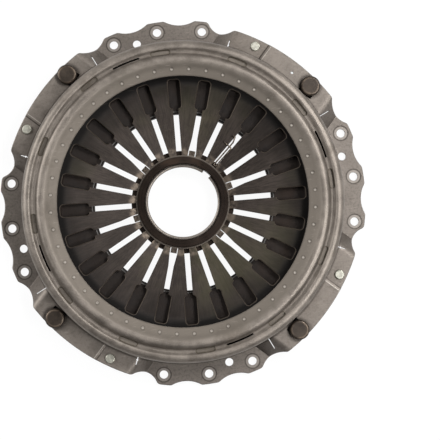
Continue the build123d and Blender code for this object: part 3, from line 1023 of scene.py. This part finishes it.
class Paintbox:
    """Every material, built once and given out by slot."""

    def __init__(self) -> None:
        """Builds the finishes."""
        effects = Effects()
        finishes: dict[Slot, Finish] = {
            Slot.COVER_STEEL: CoverSteel(
                "cover_steel", rgb(134, 126, 118), rgb(104, 97, 90), rgb(85, 76, 66),
                metallic=0.7, gloss=0.48, dull=0.66, grain=700.0, mottle=55.0, relief=0.16,
                scratch=0.3, stain=0.5, stain_size=16.0, stain_share=0.45,
            ),
            Slot.SPRING_STEEL: SpringSteel(
                "spring_steel", rgb(73, 65, 60), rgb(55, 49, 45), rgb(76, 64, 48),
                metallic=0.75, gloss=0.34, dull=0.52, mottle=14.0, relief=0.14,
                scratch=0.2, stain=0.35, stain_size=9.0, stain_share=0.3,
            ),
            Slot.CAST_IRON: PlateIron(
                "cast_iron", rgb(35, 27, 22), rgb(24, 18, 15), rgb(46, 33, 24),
                metallic=0.6, gloss=0.55, dull=0.8, grain=500.0, mottle=60.0, relief=0.35,
                depth=0.0004, scratch=0.05, stain=0.35,
            ),
            Slot.DARK_STEEL: TurnedSteel(
                "dark_steel", rgb(45, 38, 33), rgb(28, 24, 21), rgb(66, 47, 34),
                metallic=0.75, gloss=0.24, dull=0.42, scratch=0.35, stain=0.45, stain_size=30.0,
            ),
            Slot.WIRE_STEEL: Finish(
                "wire_steel", rgb(146, 138, 130), rgb(112, 105, 98), rgb(72, 63, 56),
                metallic=0.7, gloss=0.42, dull=0.56, relief=0.05, stain=0.45, stain_size=30.0,
            ),
            Slot.STRAP_STEEL: Finish(
                "strap_steel", rgb(104, 102, 104), rgb(82, 80, 84), rgb(74, 70, 88),
                metallic=0.9, gloss=0.26, dull=0.42, relief=0.06,
            ),
            Slot.ZINC: Finish(
                "zinc", rgb(188, 187, 175), rgb(154, 152, 141), rgb(122, 116, 104),
                metallic=0.6, gloss=0.32, dull=0.55, grain=420.0, mottle=160.0, relief=0.3,
                stain=0.55, stain_size=150.0,
            ),
            Slot.BLACK_OXIDE: BoltOxide(
                "black_oxide", rgb(66, 57, 49), rgb(48, 41, 35), rgb(84, 64, 46),
                metallic=0.6, gloss=0.4, dull=0.58, grain=800.0, mottle=70.0, relief=0.2, stain_size=40.0,
            ),
        }
        self.materials = {slot: finish.build(effects) for slot, finish in finishes.items()}

    def dress(self, piece: Piece, slot: Slot) -> None:
        """Gives a piece the material of a slot.

        Args:
            piece: the piece.
            slot: whose finish it takes.
        """
        if not piece.material_slots:
            piece.data.materials.append(self.materials[slot])
        for held in piece.material_slots:
            held.material = self.materials[slot]


def only(piece: Piece) -> None:
    """Leaves one piece alone selected and active.

    Args:
        piece: the piece.
    """
    for other in bpy.context.scene.objects:
        other.select_set(False)
    piece.select_set(True)
    bpy.context.view_layer.objects.active = piece


def copy_of_node(node: str, name: str) -> Piece:
    """Copies a CAD node's mesh into a new piece, joined up at its doubles.

    Args:
        node: the CAD node.
        name: the new piece's name.

    Returns:
        The new piece.
    """
    mesh = frame["nodes"][node].data.copy()
    made = bpy.data.objects.new(name, mesh)
    bpy.context.scene.collection.objects.link(made)
    only(made)
    bpy.ops.object.mode_set(mode="EDIT")
    bpy.ops.mesh.select_all(action="SELECT")
    bpy.ops.mesh.remove_doubles(threshold=DOUBLES_WITHIN)
    bpy.ops.mesh.customdata_custom_splitnormals_clear()
    bpy.ops.object.mode_set(mode="OBJECT")
    return made


def slice_piece(piece: Piece, point: Vector, normal: Vector, keep_front: bool | None) -> None:
    """Cuts a piece along a plane, and takes away what is behind or before it, or nothing.

    Args:
        piece: the piece.
        point: a point of the plane.
        normal: the plane's normal.
        keep_front: True keeps the side that the normal points to, False the other, None both.
    """
    only(piece)
    bpy.ops.object.mode_set(mode="EDIT")
    bpy.ops.mesh.select_all(action="SELECT")
    bpy.ops.mesh.bisect(
        plane_co=point, plane_no=normal, use_fill=keep_front is not None,
        clear_inner=keep_front is True, clear_outer=keep_front is False,
    )
    bpy.ops.object.mode_set(mode="OBJECT")


def smooth(piece: Piece, angle: float = 32.0) -> None:
    """Shades a piece smooth except across sharp edges.

    Args:
        piece: the piece.
        angle: how sharp an edge stays sharp, in degrees.
    """
    only(piece)
    bpy.ops.object.shade_smooth_by_angle(angle=math.radians(angle))


@dataclass
class CoverPressing:
    """The cover, its facets merged so that the pressed bends shade evenly."""

    node: str = "cover"
    sharp_angle: float = 24.0

    def build(self, paints: Paintbox) -> list[Piece]:
        """Makes the cover.

        Args:
            paints: the materials.

        Returns:
            The cover alone.
        """
        shell = copy_of_node(self.node, "cover_pressing")
        smooth(shell, self.sharp_angle)
        even = shell.modifiers.new("even_shading", "WEIGHTED_NORMAL")
        even.keep_sharp = True
        bpy.ops.object.modifier_apply(modifier=even.name)
        paints.dress(shell, Slot.COVER_STEEL)
        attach(shell, Body.COVER.value)
        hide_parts(self.node)
        return [shell]


@dataclass
class DiaphragmSpring:
    """The spring, parted at its slots into one piece for each finger and its part of the rim."""

    node: str = "diaphragm_spring"
    finger_count: int = 24
    slot_angle: float = -4.2
    still_r: float = 200 * MM
    moved_r: float = 77 * MM
    windows: tuple[float, float] = (112 * MM, 162 * MM)
    bevel_lean: tuple[float, float] = (0.55, 0.85)

    def build(self, paints: Paintbox) -> list[Piece]:
        """Makes one piece for each finger and its part of the rim.

        Args:
            paints: the materials.

        Returns:
            The pieces.
        """
        whole = copy_of_node(self.node, "spring_whole")
        pitch = 360 / self.finger_count
        made: list[Piece] = []
        for number in range(self.finger_count):
            start = self.slot_angle + number * pitch
            finger = bpy.data.objects.new(f"spring_finger_{number + 1:02d}", whole.data.copy())
            bpy.context.scene.collection.objects.link(finger)
            slice_piece(finger, Vector((0, 0, 0)), direction(start + 90, 0), True)
            slice_piece(finger, Vector((0, 0, 0)), direction(start + pitch + 90, 0), False)
            self._mark_bevels(finger)
            smooth(finger)
            paints.dress(finger, Slot.SPRING_STEEL)
            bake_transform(finger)
            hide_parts(self.node)
            made.append(finger)
        bpy.data.objects.remove(whole)
        return made

    def _mark_bevels(self, finger: Piece) -> None:
        """Marks the faces of the windows' bevelled edges, for the finish to paint highlights on them.

        Args:
            finger: the finger.
        """
        mesh = finger.data
        mark = mesh.attributes.new(BEVEL_MARK, "FLOAT", "FACE")
        for face in mesh.polygons:
            out = Vector((face.center.x, face.center.y)).length
            sloped = self.bevel_lean[0] < face.normal.z < self.bevel_lean[1]
            mark.data[face.index].value = 1.0 if sloped and self.windows[0] < out < self.windows[1] else 0.0


@dataclass
class StrapPacks:
    """The drive straps' leaves, which bend from the cover's rivets to the plate's lugs."""

    packs: int = BRIDGES
    leaves: tuple[str, ...] = ("bottom", "middle", "top")
    line: float = 217.6 * MM
    half_pitch: float = 43.8 * MM
    flat: float = 16 * MM
    cuts: int = 14

    def build(self, paints: Paintbox) -> list[Piece]:
        """Makes the twelve leaves.

        Args:
            paints: the materials.

        Returns:
            The pieces.
        """
        made: list[Piece] = []
        for pack in range(self.packs):
            angle = BRIDGE_TURN + 360 / self.packs * pack
            out, along = direction(angle, 0), direction(angle + 90, 0)
            reach = self.half_pitch - self.flat / 2
            for leaf in self.leaves:
                node = f"strap_{pack + 1}_{leaf}"
                piece = copy_of_node(node, f"drive_{node}")
                for cut in range(self.cuts + 1):
                    across = reach * (2 * cut / self.cuts - 1)
                    slice_piece(piece, out * self.line + along * across, along, None)
                smooth(piece)
                paints.dress(piece, Slot.STRAP_STEEL)
                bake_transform(piece)
                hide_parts(node)
                made.append(piece)
        return made


@dataclass
class CarriedParts:
    """The CAD nodes that are shown as they are, each with its finish."""

    def build(self, paints: Paintbox) -> list[Piece]:
        """Dresses the nodes.

        Args:
            paints: the materials.

        Returns:
            The nodes' objects.
        """
        slots = {
            "fulcrum_ring": Slot.SPRING_STEEL,
            "pressure_plate": Slot.CAST_IRON,
            "bearing_socket": Slot.DARK_STEEL,
            "retaining_ring": Slot.DARK_STEEL,
            "snap_ring": Slot.WIRE_STEEL,
            "locking_wire": Slot.DARK_STEEL,
        }
        for number in range(1, BRIDGES + 1):
            slots[f"strap_rivet_{number}"] = Slot.ZINC
            slots[f"stop_bolt_{number}"] = Slot.BLACK_OXIDE
            slots[f"stop_sleeve_{number}"] = Slot.ZINC
        made: list[Piece] = []
        for node, slot in slots.items():
            piece = frame["nodes"][node]
            paints.dress(piece, slot)
            made.append(piece)
        return made


@dataclass(frozen=True)
class Softbox:
    """A soft lamp aimed at the cover.

    Its turn is in degrees from the picture's right towards its top, its rise in degrees above the floor,
    its power in watts, its width and height and how far away it stands in metres.
    """

    name: str
    turn: float
    rise: float
    power: float
    size: tuple[float, float]
    away: float = 1.7


@dataclass
class Studio:
    """The camera, the pale floor, the soft lamps and the pale surroundings."""

    distance: float = 2.0
    rise: float = 88.0
    sensor: float = 36.0
    lens: float = 125.2
    shift: tuple[float, float] = (0.0843, -0.0394)
    floor_half: float = 30.0
    floor_drop: float = 0.2 * MM
    floor_white: Colour = (0.92, 0.92, 0.92, 1.0)
    shadow_kept: float = 0.06
    surround_colour: Colour = (1.0, 0.985, 0.965, 1.0)
    surround_light: Ramp = Ramp(-0.8, 0.8, 0.05, 0.5)
    bright_side: float = 70.0
    lamps: tuple[Softbox, ...] = (
        Softbox("left_softbox", 164, 34, 20.0, (0.8, 0.7)),
        Softbox("right_softbox", 36, 54, 19.0, (0.5, 0.5)),
        Softbox("front_right_softbox", -28, 54, 17.0, (0.6, 0.5)),
    )

    def build(self) -> None:
        """Sets up the whole studio."""
        self._camera()
        self._floor()
        self._surroundings()
        for lamp in self.lamps:
            self._light(lamp)

    def _camera(self) -> None:
        """Looks down at the flange from the photograph's side."""
        a, e = math.radians(TURN_OF_PHOTO), math.radians(self.rise)
        back = Vector((math.sin(a) * math.cos(e), -math.cos(a) * math.cos(e), math.sin(e)))
        data = bpy.data.cameras.new("photo_camera")
        data.sensor_width = self.sensor
        data.lens = self.lens
        data.shift_x, data.shift_y = self.shift
        camera = bpy.data.objects.new("photo_camera", data)
        bpy.context.scene.collection.objects.link(camera)
        camera.location = back * self.distance
        camera.rotation_mode = "QUATERNION"
        camera.rotation_quaternion = (-back).to_track_quat("-Z", "Y")
        bpy.context.scene.camera = camera

    def _seen(self, w: Wiring) -> Socket:
        """Picks the rays that show a surface to the eye: straight, mirrored or through glass.

        Args:
            w: the wiring that it is added to.

        Returns:
            1 for these rays, 0 for the others.
        """
        path = w.node("ShaderNodeLightPath").outputs
        mirrored = w.math("MAXIMUM", path["Is Glossy Ray"], path["Is Transmission Ray"])
        return w.math("MAXIMUM", path["Is Camera Ray"], mirrored)

    def _floor(self) -> None:
        """Lays a wide floor just under the flange, white to the eye but for a trace of shadow."""
        bpy.ops.mesh.primitive_plane_add(size=2 * self.floor_half, location=(0, 0, -self.floor_drop))
        floor = bpy.context.object
        floor.name = "studio_floor"
        made = bpy.data.materials.new("floor_white")
        made.use_nodes = True
        made.node_tree.nodes.clear()
        w = Wiring(made.node_tree)
        paint = w.node("ShaderNodeBsdfDiffuse")
        paint.inputs["Color"].default_value = self.floor_white
        white = w.node("ShaderNodeEmission")
        blend = w.node("ShaderNodeMixShader")
        w.feed(blend.inputs[0], w.product(self._seen(w), 1 - self.shadow_kept))
        w.feed(blend.inputs[1], paint.outputs[0])
        w.feed(blend.inputs[2], white.outputs[0])
        w.feed(w.node("ShaderNodeOutputMaterial").inputs["Surface"], blend.outputs[0])
        floor.data.materials.append(made)

    def _surroundings(self) -> None:
        """Lights the part softly from all round, less from the bottom of the picture."""
        world = bpy.data.worlds.new("pale_room")
        bpy.context.scene.world = world
        world.use_nodes = True
        w = Wiring(world.node_tree)
        sky = world.node_tree.nodes["Background"]
        sky.inputs["Color"].default_value = self.surround_colour
        lean = w.node("ShaderNodeVectorMath", operation="DOT_PRODUCT")
        w.feed(lean.inputs[0], w.node("ShaderNodeTexCoord").outputs["Generated"])
        w.feed(lean.inputs[1], tuple(direction(self.bright_side + TURN_OF_PHOTO, 0)))
        w.feed(sky.inputs["Strength"], w.ramp(lean.outputs["Value"], self.surround_light))

    def _light(self, lamp: Softbox) -> None:
        """Sets up a soft lamp.

        Args:
            lamp: the lamp.
        """
        data = bpy.data.lights.new(lamp.name, "AREA")
        data.shape = "RECTANGLE"
        data.size, data.size_y = lamp.size
        data.energy = lamp.power
        made = bpy.data.objects.new(lamp.name, data)
        bpy.context.scene.collection.objects.link(made)
        towards = direction(lamp.turn + TURN_OF_PHOTO, lamp.rise)
        made.location = towards * lamp.away
        made.rotation_mode = "QUATERNION"
        made.rotation_quaternion = (-towards).to_track_quat("-Z", "Y")


def main() -> None:
    """Builds the studio, the finishes and the pieces in order."""
    logging.basicConfig(level=logging.INFO, format="%(message)s")
    bpy.context.scene.view_settings.view_transform = "Standard"
    Studio().build()
    paints = Paintbox()
    for assembly in (CarriedParts(), CoverPressing(), DiaphragmSpring(), StrapPacks()):
        for piece in assembly.build(paints):
            LOG.info("%s: %d faces", piece.name, len(piece.data.polygons))


if __name__ == "__main__":
    main()
